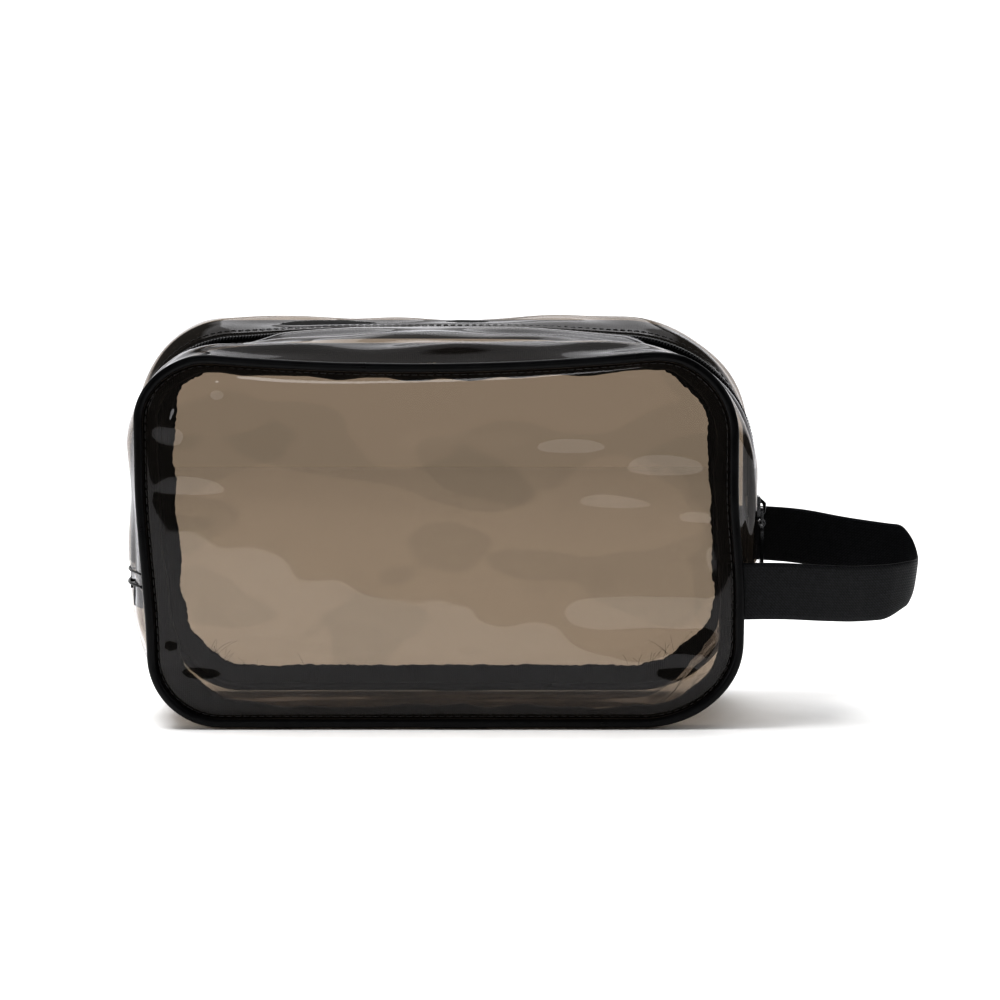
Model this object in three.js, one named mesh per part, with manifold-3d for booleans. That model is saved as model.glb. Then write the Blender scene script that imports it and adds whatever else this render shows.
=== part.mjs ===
// A see-through zip bag for make-up: two smoke-tinted PVC panels, a PVC gusset band between them, black
// piping and woven binding on both seams, a coil zip over the top and down both sides, and a wrist strap.
//
// Millimetres. +X runs towards the wrist strap, +Y from the front panel to the back panel, +Z up.
// The origin is the middle of the base. A piece of the band is first swept flat along a rounded
// rectangle, the seam line, and soften() then gives it the shape that the soft sheet takes.

import * as THREE from "three";
import { mergeVertices } from "three/addons/utils/BufferGeometryUtils.js";
import Module from "manifold-3d";

const wasm = await Module();
wasm.setup();

// ---- driving dimensions ----

// The seam line: the middle of the piping, seen from the front.
const seamHalfWidth = 124;
const seamBottom = 2.5;
const seamTop = 160;
const seamDepth = 44;
const cornerRadius = 30;
const cornerSteps = 6;
const topSteps = 8;

// How the soft sheet leaves the seam line.
const sideBow = 2.8; // the side seams bow out at mid height
const topSag = 5; // the top seam of the front sags in the middle
const backSagShare = 0.4; // and that of the back by this share of it
const sidePuff = 11.5; // the band stands out this far at mid depth on the sides
const topPuff = 10; // and along the top
const puffHalfDepth = 41.6; // the puff has died away at this depth
const puffStart = 12; // it begins at this height
const puffFull = 66; // and is complete at this one

// Sheet and trim. Faces of the band are given as distances outside the seam line.
const sheet = 0.5;
const gap = 0.3;
const bandOut = [2, 2.5]; // inner and outer face: the base then lies at z = 0
const bandHalfDepth = 41;
const flatHalfDepth = 33; // beyond this depth the band dips towards the piping
const edgeDip = 1.1;
const pipingRadius = 2.4;
const pipingSides = 10;
const bindingWidth = 8.8;
const bindingThickness = 0.6;
const frontBindingOut = [1, 1.6];
const endBindingOut = [-0.8, -0.1];
const endBindingHeight = [51, 61];
const endBindingDepths = [-30, -15, 0, 15, 30];

// The zip and the mouth.
const zipEnd = 66; // height of the cross seams between the base gusset and the zip strips
const tapeEnd = 52; // the tapes run on inside, down to this height
const coilEnd = 68;
const foldHeight = 78; // the front folds forward here when the mouth opens
const stripEdge = 6.6; // the zip strips stop at this distance from the middle of the zip
const tapeOut = [1, 1.6];
const tapeDepth = [0.95, 16];
const coilOut = [1.9, 3.7];
const coilDepth = [0.95, 3.2];

// The slider, measured from the zip's base line on the right side, where the line is straight.
const sliderX = seamHalfWidth + sidePuff;
const sliderHeight = 91;
const sliderHalfLength = 4.4;
const sliderHalfWidth = 4.3;
const flange = 0.8;
const underPlate = [-0.7, 0.7];
const topPlate = [4, 5.1];
const dividerHalfWidth = 0.6;
const bridgeHalfWidth = 1.3;

// The pull: a stamped link through the slider's bridge, and a tab on the link.
const linkX = 6;
const linkTop = -1.2;
const linkBottom = -7.5;
const linkBar = 1.1;
const linkHalfWidth = 3.5;
const knuckleRadius = 1.7;
const knuckleHalfWidth = 2;
const tabLength = 22;
const tabHalfWidth = 3.2;
const tabThickness = 1.5;

// The wrist strap: one length of webbing, with an end in each side seam.
const strapWidth = 25;
const strapThickness = 1.6;
const strapHeight = 59.5; // middle of the strap at the front seam
const strapRise = 12; // the back end is sewn in this much higher
const strapStart = 130;
const strapReach = 209;
const strapHalfDepth = 41;

// ---- materials ----

function material(color, roughness, extra = {}) {
  return new THREE.MeshStandardMaterial({ color, roughness, metalness: 0, ...extra });
}

const smokePvc = material(0x6b5f52, 0.08, { transparent: true, opacity: 0.6 });
const blackPvc = material(0x0c0c0e, 0.2);
const wovenBinding = material(0x101010, 0.9);
const zipTape = material(0x131314, 0.85);
const coilNylon = material(0x0b0b0c, 0.35);
const webbing = material(0x16171a, 0.75);
const gunmetal = material(0x2a2a2d, 0.25, { metalness: 0.9 });

// ---- solids ----

// A closed three.js geometry as a manifold-3d solid, and back.
function solidOf(geometry) {
  const bare = geometry.index ? geometry.toNonIndexed() : geometry.clone();
  bare.deleteAttribute("normal");
  bare.deleteAttribute("uv");
  const merged = mergeVertices(bare, 1e-4);
  const triVerts = new Uint32Array(merged.index.array);
  const vertProperties = merged.attributes.position.array;
  return new wasm.Manifold(new wasm.Mesh({ numProp: 3, vertProperties, triVerts }));
}

function geometryOf(solid) {
  const mesh = solid.getMesh();
  const geometry = new THREE.BufferGeometry();
  geometry.setAttribute("position", new THREE.BufferAttribute(mesh.vertProperties, 3));
  geometry.setIndex(new THREE.BufferAttribute(mesh.triVerts, 1));
  geometry.computeVertexNormals();
  return geometry;
}

function box(low, high) {
  const size = high.map((value, i) => value - low[i]);
  const middle = high.map((value, i) => (value + low[i]) / 2);
  return solidOf(new THREE.BoxGeometry(...size).translate(...middle));
}

// A plate at right angles to +Y: the shape is drawn in X and Z.
function plateAcrossY(shape, y, thickness) {
  const plate = new THREE.ExtrudeGeometry(shape, { depth: thickness, bevelEnabled: false, curveSegments: 6 });
  return solidOf(plate.rotateX(Math.PI / 2).translate(0, y + thickness / 2, 0));
}

// A plate at right angles to +X: the shape is drawn in Y and Z.
function plateAcrossX(shape, x, thickness) {
  const plate = new THREE.ExtrudeGeometry(shape, { depth: thickness, bevelEnabled: false, curveSegments: 6 });
  const turn = new THREE.Matrix4().set(0, 0, 1, x - thickness / 2, 1, 0, 0, 0, 0, 1, 0, 0, 0, 0, 0, 1);
  return solidOf(plate.applyMatrix4(turn));
}

function roundedRectangle([x0, z0], [x1, z1], radius) {
  const shape = new THREE.Shape();
  shape.absarc(x1 - radius, z0 + radius, radius, -Math.PI / 2, 0);
  shape.absarc(x1 - radius, z1 - radius, radius, 0, Math.PI / 2);
  shape.absarc(x0 + radius, z1 - radius, radius, Math.PI / 2, Math.PI);
  shape.absarc(x0 + radius, z0 + radius, radius, Math.PI, 1.5 * Math.PI);
  return shape;
}

// ---- paths ----

// A path through given points that all lie at right angles to one binormal. The extrusion steps from
// point to point, so a straight run costs one step.
class FlatPath extends THREE.Curve {
  constructor(points, binormal) {
    super();
    this.points = points;
    this.binormal = binormal;
  }

  getSpacedPoints() {
    return this.points;
  }

  computeFrenetFrames() {
    const steps = this.points.slice(1).map((point, i) => point.clone().sub(this.points[i]).normalize());
    const tangents = this.points.map((_, i) => {
      const before = steps[Math.max(0, i - 1)];
      const after = steps[Math.min(steps.length - 1, i)];
      return before.clone().add(after).normalize();
    });
    const binormals = tangents.map(() => this.binormal.clone());
    const normals = tangents.map((tangent) => this.binormal.clone().cross(tangent).normalize());
    return { tangents, normals, binormals };
  }
}

function extrudeAlong(section, points, binormal) {
  const extrudePath = new FlatPath(points, binormal);
  return new THREE.ExtrudeGeometry(section, { steps: points.length - 1, bevelEnabled: false, extrudePath });
}

// Stations of the seam line, counter-clockwise from the base by the right side, the top and the left side.
const coreX = seamHalfWidth - cornerRadius;
const coreLow = seamBottom + cornerRadius;
const coreHigh = seamTop - cornerRadius;
const sideHeights = [40, 47, 56, zipEnd, 92, 110];

function station(x, z) {
  return new THREE.Vector3(x, 0, z);
}

function corner(centreX, centreZ, startAngle) {
  return Array.from({ length: cornerSteps + 1 }, (_, i) => {
    const angle = startAngle + (i / cornerSteps) * (Math.PI / 2);
    return station(centreX + cornerRadius * Math.cos(angle), centreZ + cornerRadius * Math.sin(angle));
  });
}

const lowerRight = corner(coreX, coreLow, -Math.PI / 2);
const upperRight = corner(coreX, coreHigh, 0);
const upperLeft = corner(-coreX, coreHigh, Math.PI / 2);
const lowerLeft = corner(-coreX, coreLow, Math.PI);
const topRun = Array.from({ length: topSteps - 1 }, (_, i) =>
  station(coreX * (1 - (2 * (i + 1)) / topSteps), seamTop),
);

// One side between two heights, upwards. Heights that fall in a corner are left out.
function side(x, low, high) {
  const between = sideHeights.filter((z) => z > low + 2 && z < high - 2);
  return [low, ...between, high].filter((z) => z > coreLow && z < coreHigh).map((z) => station(x, z));
}

function runAbove(height) {
  const right = side(seamHalfWidth, height, seamTop);
  const left = side(-seamHalfWidth, height, seamTop).reverse();
  return [...right, ...upperRight, ...topRun, ...upperLeft, ...left];
}

function runBelow(height) {
  const right = side(seamHalfWidth, 0, height);
  const left = side(-seamHalfWidth, 0, height).reverse();
  return [...left, ...lowerLeft, ...lowerRight, ...right];
}

// All the way round, with a butt joint in the middle of the base.
function fullRun() {
  const right = side(seamHalfWidth, 0, seamTop);
  const left = side(-seamHalfWidth, 0, seamTop).reverse();
  const ends = [station(gap / 2, seamBottom), station(-gap / 2, seamBottom)];
  return [ends[0], ...lowerRight, ...right, ...upperRight, ...topRun, ...upperLeft, ...left, ...lowerLeft, ends[1]];
}

// ---- the soft shape ----

// The outward direction at a point near the seam line.
function outward(x, z) {
  const dx = x - THREE.MathUtils.clamp(x, -coreX, coreX);
  const dz = z - THREE.MathUtils.clamp(z, coreLow, coreHigh);
  const length = Math.hypot(dx, dz);
  return { x: dx / length, z: dz / length };
}

// How far the sheet stands out from the swept shape.
function standOut(x, y, z, normal) {
  const upwards = Math.max(0, normal.z);
  const halfHeight = (seamTop - seamBottom) / 2;
  const bow = sideBow * Math.abs(normal.x) * (1 - ((z - seamBottom - halfHeight) / halfHeight) ** 2);
  const across = Math.min(1, Math.abs(x) / coreX);
  const sag = topSag * upwards * (1 - across ** 2) * (y > 0 ? backSagShare : 1);
  const puff = sidePuff + (topPuff - sidePuff) * upwards ** 2;
  const crest = puff * THREE.MathUtils.smoothstep(z, puffStart, puffFull);
  const fullness = Math.max(0, 1 - Math.abs(y / puffHalfDepth) ** 3);
  return (bow - sag) * (1 - fullness) + crest * fullness;
}

function soften(geometry) {
  const position = geometry.attributes.position;
  for (let i = 0; i < position.count; i++) {
    const [x, y, z] = [position.getX(i), position.getY(i), position.getZ(i)];
    const normal = outward(x, z);
    const out = standOut(x, y, z, normal);
    position.setXYZ(i, x + normal.x * out, y, z + normal.z * out);
  }
  return geometry;
}

// ---- sections: x is the distance outside the seam line, y the depth ----

function polygon(points) {
  return new THREE.Shape(points.map(([x, y]) => new THREE.Vector2(x, y)));
}

// Depths where the band's layers all have a line of points, so that they stay clear of each other.
const sharedDepths = [tapeDepth[1], 24, flatHalfDepth, 37, bandHalfDepth];

// A sheet that follows the band from one depth to another.
function bandOutline([inner, outer], depths) {
  const dip = (y) => edgeDip * (Math.max(0, Math.abs(y) - flatHalfDepth) / (bandHalfDepth - flatHalfDepth)) ** 2;
  const outerFace = depths.map((y) => [outer - dip(y), y]);
  const innerFace = depths.map((y) => [inner - dip(y), y]);
  return [...outerFace, ...innerFace.reverse()];
}

function bandSection(faces, depths) {
  return polygon(bandOutline(faces, depths));
}

function rectangleSection([inner, outer], [near, far]) {
  return polygon([
    [inner, near],
    [outer, near],
    [outer, far],
    [inner, far],
  ]);
}

function pipingSection(depth) {
  const angles = Array.from({ length: pipingSides }, (_, i) => ((i + 0.5) / pipingSides) * 2 * Math.PI);
  return polygon(angles.map((a) => [pipingRadius * Math.cos(a), depth + pipingRadius * Math.sin(a)]));
}

// ---- the object ----

const bag = new THREE.Group();

function add(name, geometry, look) {
  const mesh = new THREE.Mesh(geometry, look);
  mesh.name = name;
  bag.add(mesh);
}

function addBand(name, section, run, look) {
  add(name, soften(extrudeAlong(section, run, new THREE.Vector3(0, 1, 0))), look);
}

// -- panels: flat sheets inside the piping --

function panel(depth, low, high) {
  const inset = pipingRadius + gap;
  const corners = fullRun().slice(1, -1);
  const outline = corners.map((point) => {
    const normal = outward(point.x, point.z);
    const out = standOut(point.x, depth, point.z, normal) - inset;
    return [point.x + normal.x * out, point.z + normal.z * out];
  });
  const whole = plateAcrossY(polygon(outline), depth, sheet);
  return geometryOf(whole.intersect(box([-200, depth - 5, low], [200, depth + 5, high])));
}

add("back_panel", panel(seamDepth, -10, 200), smokePvc);
add("front_panel_lower", panel(-seamDepth, -10, foldHeight - gap / 2), smokePvc);
add("front_panel_upper", panel(-seamDepth, foldHeight + gap / 2, 200), smokePvc);

// -- base gusset: under the base and up both sides to the zip --

const gussetDepths = [...sharedDepths.map((y) => -y).reverse(), 0, ...sharedDepths];
addBand("base_gusset", bandSection(bandOut, gussetDepths), runBelow(zipEnd - gap), smokePvc);

// -- piping and binding --

addBand("back_piping", pipingSection(seamDepth), fullRun(), blackPvc);
addBand("front_piping_lower", pipingSection(-seamDepth), runBelow(foldHeight - gap / 2), blackPvc);
addBand("front_piping_upper", pipingSection(-seamDepth), runAbove(foldHeight + gap / 2), blackPvc);

// The back binding lies against the back panel; the front one is turned along the band.
const bindingEdge = -pipingRadius - gap;
const backBindingFace = seamDepth - sheet / 2 - gap;
const backBinding = rectangleSection(
  [bindingEdge - bindingWidth, bindingEdge],
  [backBindingFace - bindingThickness, backBindingFace],
);
const frontBinding = bandSection(frontBindingOut, sharedDepths.slice(2).map((y) => -y));
addBand("back_binding", backBinding, fullRun(), wovenBinding);
addBand("front_binding_lower", frontBinding, runBelow(foldHeight - gap / 2), wovenBinding);
addBand("front_binding_upper", frontBinding, runAbove(foldHeight + gap / 2), wovenBinding);

// A short piece on one side of the band. It keeps one section and leans with the band, so its faces are flat.
function sidePiece(outline, [low, high], sign) {
  const middle = (low + high) / 2;
  const toTheSide = { x: 1, z: 0 };
  const placed = outline.map(([out, y]) => [
    seamHalfWidth + out + standOut(seamHalfWidth, y, middle, toTheSide),
    y,
  ]);
  const plate = new THREE.ExtrudeGeometry(polygon(placed), { depth: high - low, bevelEnabled: false });
  const lean = (z) => standOut(seamHalfWidth, 0, z, toTheSide);
  const slope = (lean(high) - lean(low)) / (high - low);
  const solid = solidOf(plate.translate(0, 0, low)).warp((vertex) => {
    vertex[0] += slope * (vertex[2] - middle);
  });
  return geometryOf(sign > 0 ? solid : solid.mirror([1, 0, 0]));
}

// Where the zip ends, a binding lies across the inside of the band.
const endBinding = bandOutline(endBindingOut, endBindingDepths);
add("right_end_binding", sidePiece(endBinding, endBindingHeight, 1), wovenBinding);
add("left_end_binding", sidePiece(endBinding, endBindingHeight, -1), wovenBinding);

// -- zip: a strip, a tape and a coil on each side of the mouth --

function onSide(sign, depths) {
  return depths.map((y) => sign * y);
}

for (const [name, sign] of [["front", -1], ["back", 1]]) {
  addBand(`${name}_zip_tape`, bandSection(tapeOut, onSide(sign, tapeDepth)), runAbove(tapeEnd), zipTape);
  addBand(`${name}_zip_coil`, rectangleSection(coilOut, onSide(sign, coilDepth)), runAbove(coilEnd), coilNylon);
}

// The front strip is cut at the fold, so it has two short feet below it.
const stripDepths = [stripEdge, ...sharedDepths];
const frontStrip = bandOutline(bandOut, onSide(-1, stripDepths));
const footHeight = [zipEnd, foldHeight - gap / 2];
addBand("back_zip_strip", bandSection(bandOut, stripDepths), runAbove(zipEnd), smokePvc);
addBand("front_zip_strip", polygon(frontStrip), runAbove(foldHeight + gap / 2), smokePvc);
add("front_zip_strip_right_foot", sidePiece(frontStrip, footHeight, 1), smokePvc);
add("front_zip_strip_left_foot", sidePiece(frontStrip, footHeight, -1), smokePvc);

// -- slider and pull, at the right side --

function sliderBox([x0, x1], [y0, y1], [z0, z1]) {
  return box([sliderX + x0, y0, sliderHeight + z0], [sliderX + x1, y1, sliderHeight + z1]);
}

function slider() {
  const length = [-sliderHalfLength, sliderHalfLength];
  const width = [-sliderHalfWidth, sliderHalfWidth];
  const under = sliderBox(underPlate, width, length);
  const top = sliderBox(topPlate, width, length);
  const dividerWidth = [-dividerHalfWidth, dividerHalfWidth];
  const divider = sliderBox([underPlate[0], topPlate[1]], dividerWidth, [-sliderHalfLength, -2]);
  const flanges = [-1, 1].map((sign) => {
    const edges = [sign * sliderHalfWidth, sign * (sliderHalfWidth - flange)].sort((a, b) => a - b);
    return sliderBox([coilOut[0], topPlate[1]], edges, length);
  });
  return wasm.Manifold.union([under, top, divider, ...flanges, bridge()]);
}

// An arch along the slider, open from side to side.
function bridge() {
  const [foot, crown, wall] = [topPlate[1] - 0.1, 7.8, 0.9];
  const arch = polygon([
    [sliderX + foot, sliderHeight - 3.6],
    [sliderX + crown - 1, sliderHeight - 3.6],
    [sliderX + crown, sliderHeight - 2.4],
    [sliderX + crown, sliderHeight + 1.4],
    [sliderX + foot, sliderHeight + 4],
  ]);
  const whole = plateAcrossY(arch, 0, 2 * bridgeHalfWidth);
  const hole = sliderBox([foot - 1, crown - wall], [-5, 5], [-2.5, 1.3]);
  return whole.subtract(hole);
}

function pullLink() {
  const [top, bottom] = [sliderHeight + linkTop, sliderHeight + linkBottom];
  const half = linkBar / 2;
  const outline = roundedRectangle([-linkHalfWidth, bottom - half], [linkHalfWidth, top + half], 1.2);
  const inner = linkHalfWidth - linkBar;
  outline.holes.push(roundedRectangle([-inner, bottom + half], [inner, top - half], 0.3));
  return plateAcrossX(outline, sliderX + linkX, linkBar);
}

function pullTab() {
  const pivot = { x: sliderX + linkX, z: sliderHeight + linkBottom };
  const knuckle = new THREE.Shape().absarc(pivot.x, pivot.z, knuckleRadius, 0, 2 * Math.PI);
  knuckle.holes.push(new THREE.Path().absarc(pivot.x, pivot.z, linkBar, 0, 2 * Math.PI));
  const barrel = plateAcrossY(knuckle, 0, 2 * knuckleHalfWidth);
  const neck = box([pivot.x - tabThickness / 2, -knuckleHalfWidth, pivot.z - 3],
    [pivot.x + tabThickness / 2, knuckleHalfWidth, pivot.z - 1.3]);
  const bladeTop = pivot.z - 2.2;
  const blade = roundedRectangle([-tabHalfWidth, bladeTop - tabLength], [tabHalfWidth, bladeTop], 1.5);
  return wasm.Manifold.union([barrel, neck, plateAcrossX(blade, pivot.x, tabThickness)]);
}

add("slider_body", geometryOf(slider()), gunmetal);
add("pull_link", geometryOf(pullLink()), gunmetal);
add("pull_tab", geometryOf(pullTab()), gunmetal);

// -- wrist strap: a loop that lies on edge, with round ends so that it can swing at the seams --

// Half of the loop as seen from above, from the front seam to the far end.
const strapHalfLoop = [
  [strapStart, -strapHalfDepth],
  [strapStart + strapWidth / 2, -strapHalfDepth],
  [strapStart + 27, -39.8],
  [strapStart + 42, -36],
  [strapStart + 55, -29.5],
  [strapReach - 13, -21.5],
  [strapReach - 5, -14],
  [strapReach - 1.2, -6.5],
  [strapReach, 0],
];

function strap() {
  const front = strapHalfLoop.map(([x, y]) => new THREE.Vector3(x, y, 0));
  const back = strapHalfLoop.slice(0, -1).map(([x, y]) => new THREE.Vector3(x, -y, 0)).reverse();
  const section = rectangleSection([-strapThickness / 2, strapThickness / 2], [-strapWidth / 2, strapWidth / 2]);
  const loop = extrudeAlong(section, [...front, ...back], new THREE.Vector3(0, 0, 1));
  const radius = strapWidth / 2;
  const ends = new THREE.Shape();
  ends.absarc(strapStart + radius, 0, radius, Math.PI / 2, 1.5 * Math.PI);
  ends.lineTo(strapReach + 20, -radius);
  ends.lineTo(strapReach + 20, radius);
  const trimmed = solidOf(loop).intersect(plateAcrossY(ends, 0, 200));
  return trimmed.warp((vertex) => {
    vertex[2] += strapHeight + strapRise * (0.5 + vertex[1] / (2 * strapHalfDepth));
  });
}

add("wrist_strap", geometryOf(strap()), webbing);

export default bag;
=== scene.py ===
"""The looks of a see-through zip bag: smoke-tinted film, black piping and binding, a coil zip and a strap.

Everything is in metres in the CAD frame: +X to the wrist strap, +Y to the back panel, +Z up.
The soft shell is lofted through five rounded outlines: front seam, front crest, zip, back crest, back seam.
"""

import math

import bmesh
import bpy
import numpy as np
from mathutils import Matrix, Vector, noise


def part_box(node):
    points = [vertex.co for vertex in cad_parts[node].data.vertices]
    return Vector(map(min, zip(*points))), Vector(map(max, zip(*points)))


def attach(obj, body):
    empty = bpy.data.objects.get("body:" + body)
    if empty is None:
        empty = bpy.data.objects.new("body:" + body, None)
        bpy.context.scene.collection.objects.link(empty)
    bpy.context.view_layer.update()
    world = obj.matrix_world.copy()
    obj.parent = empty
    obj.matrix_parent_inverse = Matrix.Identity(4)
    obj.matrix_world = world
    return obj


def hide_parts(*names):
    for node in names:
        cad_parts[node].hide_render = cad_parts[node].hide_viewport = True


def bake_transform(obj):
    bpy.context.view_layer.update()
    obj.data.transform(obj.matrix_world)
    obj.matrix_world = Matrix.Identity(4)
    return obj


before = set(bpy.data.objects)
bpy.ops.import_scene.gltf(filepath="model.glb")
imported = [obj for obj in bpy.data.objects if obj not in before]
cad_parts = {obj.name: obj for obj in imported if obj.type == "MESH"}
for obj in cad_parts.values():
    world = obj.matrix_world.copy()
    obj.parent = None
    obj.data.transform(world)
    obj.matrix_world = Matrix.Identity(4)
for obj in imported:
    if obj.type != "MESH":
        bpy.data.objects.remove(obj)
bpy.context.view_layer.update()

MM = 0.001

# ---- sizes, from the frame ----

SEAM_SPREAD = 4.8 * MM      # from a seam's plain outline, before it leans and bows, out to the CAD's seam
COIL_PROUD = 3.7 * MM       # from the zip's outline to the outside of the CAD's coil
TAPE_HIDDEN = 6 * MM        # how much further than the CAD's the zip tape runs under the film
PANEL_INSET = 1.6 * MM      # from the seam line to the edge of the panels' film and of the back binding
BAND_INSET = 1.2 * MM       # from the seam line to the edge of the band's film
GROUND_GAP = 0.3 * MM       # the film lies this far above the ground
WEBBING_HALF = 12.2 * MM
WEBBING_THICKNESS = 1.3 * MM

PIPE_LOW, PIPE_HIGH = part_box("back_piping")
PIPE_RADIUS = (PIPE_HIGH.y - PIPE_LOW.y) / 2
SEAM_DEPTH = (PIPE_HIGH.y + PIPE_LOW.y) / 2
SEAM_LOW = PIPE_LOW.z + PIPE_RADIUS
SEAM_TOP = PIPE_HIGH.z - PIPE_RADIUS
SEAM_WIDTH = PIPE_HIGH.x - PIPE_RADIUS - SEAM_SPREAD
ZIP_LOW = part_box("back_zip_strip")[0].z
TAPE_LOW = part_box("back_zip_tape")[0].z
TAPE_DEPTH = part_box("back_zip_tape")[1].y + TAPE_HIDDEN
ZIP_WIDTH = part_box("back_zip_coil")[1].x - COIL_PROUD
STRIP_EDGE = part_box("back_zip_strip")[0].y
STRAP_LOW, STRAP_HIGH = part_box("wrist_strap")


# ---- numbers ----

def smooth(x, low, high):
    """0 below low, 1 above high and a soft step between them."""
    t = np.clip((np.asarray(x, float) - low) / (high - low), 0, 1)
    return t * t * (3 - 2 * t)


def bank(x, start, full, fading, end):
    """0 before start, 1 from full to fading, and 0 again after end."""
    return smooth(x, start, full) * (1 - smooth(x, fading, end))


def ripple(points, scale, seed):
    """Smooth noise from -1 to 1 at points, with features about scale metres across."""
    shift = Vector((seed * 7.3, seed * 3.1, seed * 5.7))
    flat = np.asarray(points, float).reshape(-1, 3) / scale
    values = [noise.noise(Vector(p) + shift) for p in flat]
    return np.array(values).reshape(np.asarray(points).shape[:-1]) * 1.6


def closed(values):
    """A loop's rows with the first one again at the end."""
    return np.concatenate([values, values[:1]])


# ---- outlines ----

# Stations along each straight stretch of an outline, and along each corner.
STEPS = {"base": 48, "corner": 22, "side": 46, "top": 100}


def rounded(half_width, low, top, radii):
    """Points (x, z) and outward directions of a rounded rectangle, anticlockwise from its base's middle.

    radii are the corners' in that order: low right, top right, top left, low left."""
    points, normals = [], []

    def line(start, end, normal, steps):
        for t in np.arange(steps) / steps:
            points.append(np.array(start) * (1 - t) + np.array(end) * t)
            normals.append(np.array(normal, float))

    def arc(centre, radius, start, steps):
        for angle in start + np.arange(steps) / steps * math.pi / 2:
            normal = np.array([math.cos(angle), math.sin(angle)])
            points.append(np.array(centre) + radius * normal)
            normals.append(normal)

    w, (br, tr, tl, bl) = half_width, radii
    line((0, low), (w - br, low), (0, -1), STEPS["base"])
    arc((w - br, low + br), br, -math.pi / 2, STEPS["corner"])
    line((w, low + br), (w, top - tr), (1, 0), STEPS["side"])
    arc((w - tr, top - tr), tr, 0, STEPS["corner"])
    line((w - tr, top), (tl - w, top), (0, 1), STEPS["top"])
    arc((tl - w, top - tl), tl, math.pi / 2, STEPS["corner"])
    line((-w, top - tl), (-w, low + bl), (-1, 0), STEPS["side"])
    arc((bl - w, low + bl), bl, math.pi, STEPS["corner"])
    line((bl - w, low), (0, low), (0, -1), STEPS["base"])
    return np.array(points), np.array(normals)


def seam_outline(top, sag, bow, radii):
    """A panel's seam. It stands out at the low right and the high left. Its sides bow and its top sags."""
    points, normals = rounded(SEAM_WIDTH, SEAM_LOW, top, [r * MM for r in radii])
    x, z = points.T
    right = 6.8 * MM - 2.9 * MM * smooth(z, 55 * MM, 105 * MM)
    left = 0.7 * MM + 4.3 * MM * smooth(z, 30 * MM, 110 * MM)
    belly = bow * np.sin(np.clip(z / top, 0, 1) * math.pi)
    points[:, 0] += normals[:, 0] * (np.where(x > 0, right, left) + belly)
    hang = sag * (1 - np.clip(np.abs(x) / (SEAM_WIDTH * 0.85), 0, 1) ** 2)
    points[:, 1] += np.clip(normals[:, 1], 0, 1) * (x / SEAM_WIDTH * 1.2 * MM - hang)
    return points, normals


def crest_outline(half_width, top, hump, radii):
    """An outline of the band. Its left side stands out less than its right side, and its top humps up."""
    points, normals = rounded(half_width, GROUND_GAP, top, [r * MM for r in radii])
    points[:, 0] += 3.2 * MM * np.clip(-normals[:, 0], 0, 1)
    middle = 1 - smooth(np.abs(points[:, 0]), 30 * MM, 104 * MM)
    points[:, 1] += hump * middle * np.clip(normals[:, 1], 0, 1)
    return points, normals


# The band's section at five depths. The radii, in mm, are of the corners in rounded()'s order.
OUTLINES = {
    "front": seam_outline(SEAM_TOP + 0.5 * MM, 5.3 * MM, 0, (35, 34, 28, 29)),
    "front_crest": crest_outline(ZIP_WIDTH - 0.6 * MM, SEAM_TOP + 3.2 * MM, 1.5 * MM, (52, 54, 44, 52)),
    "zip": crest_outline(ZIP_WIDTH, SEAM_TOP + 2.6 * MM, 4.2 * MM, (50, 52, 46, 50)),
    "back_crest": crest_outline(ZIP_WIDTH - 0.6 * MM, SEAM_TOP + 11.2 * MM, 0, (52, 53, 40, 52)),
    "back": seam_outline(SEAM_TOP - 0.4 * MM, 1.5 * MM, 2.6 * MM, (34, 36, 27, 31)),
}
SHELL_NAMES = ("front", "front_crest", "zip", "back_crest", "back")
SHELL_DEPTHS = np.array([-1, -0.66, 0, 0.52, 1]) * SEAM_DEPTH
COUNT = len(OUTLINES["front"][0])


def to_3d(points, y):
    """Points (x, z) at depth y."""
    return np.stack([points[..., 0], np.broadcast_to(y, points[..., 0].shape), points[..., 1]], -1)


def curve_weights(y):
    """Each outline's share at depth y: a natural cubic spline, which keeps the shell smooth at the zip."""
    knots, n = SHELL_DEPTHS, len(SHELL_DEPTHS)
    gaps = np.diff(knots)
    system, slopes = np.eye(n), np.zeros((n, n))
    for i in range(1, n - 1):
        before, after = gaps[i - 1], gaps[i]
        system[i, i - 1:i + 2] = (before, 2 * (before + after), after)
        slopes[i, i - 1:i + 2] = np.array((1 / before, -1 / before - 1 / after, 1 / after)) * 6
    bend = np.linalg.solve(system, slopes)
    i = int(np.clip(np.searchsorted(knots, y) - 1, 0, n - 2))
    step = gaps[i]
    a, b = (knots[i + 1] - y) / step, (y - knots[i]) / step
    cubic = ((a**3 - a) * bend[i] + (b**3 - b) * bend[i + 1]) * step**2 / 6
    return a * np.eye(n)[i] + b * np.eye(n)[i + 1] + cubic


def shell(depths, out=0.0):
    """The soft band's points, one row for each station of the outlines and one column for each depth."""
    points = np.array([OUTLINES[name][0] for name in SHELL_NAMES])
    normals = np.array([OUTLINES[name][1] for name in SHELL_NAMES])
    columns = []
    for y in depths:
        share = curve_weights(np.clip(y, -SEAM_DEPTH, SEAM_DEPTH))
        place = np.tensordot(share, points, 1)
        normal = np.tensordot(share, normals, 1)
        normal /= np.linalg.norm(normal, axis=1, keepdims=True)
        columns.append(to_3d(place + normal * out, y))
    return np.stack(columns, 1)


def shell_normals():
    """The outward direction at each station, level across the band."""
    return to_3d(OUTLINES["zip"][1], 0.0)


def stations_above(height):
    """Station numbers from the right side over the top to the left side, above a height."""
    z = OUTLINES["zip"][0][:, 1]
    return [i for i in range(COUNT) if z[i] >= height and STEPS["base"] <= i < COUNT - STEPS["base"]]


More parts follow.
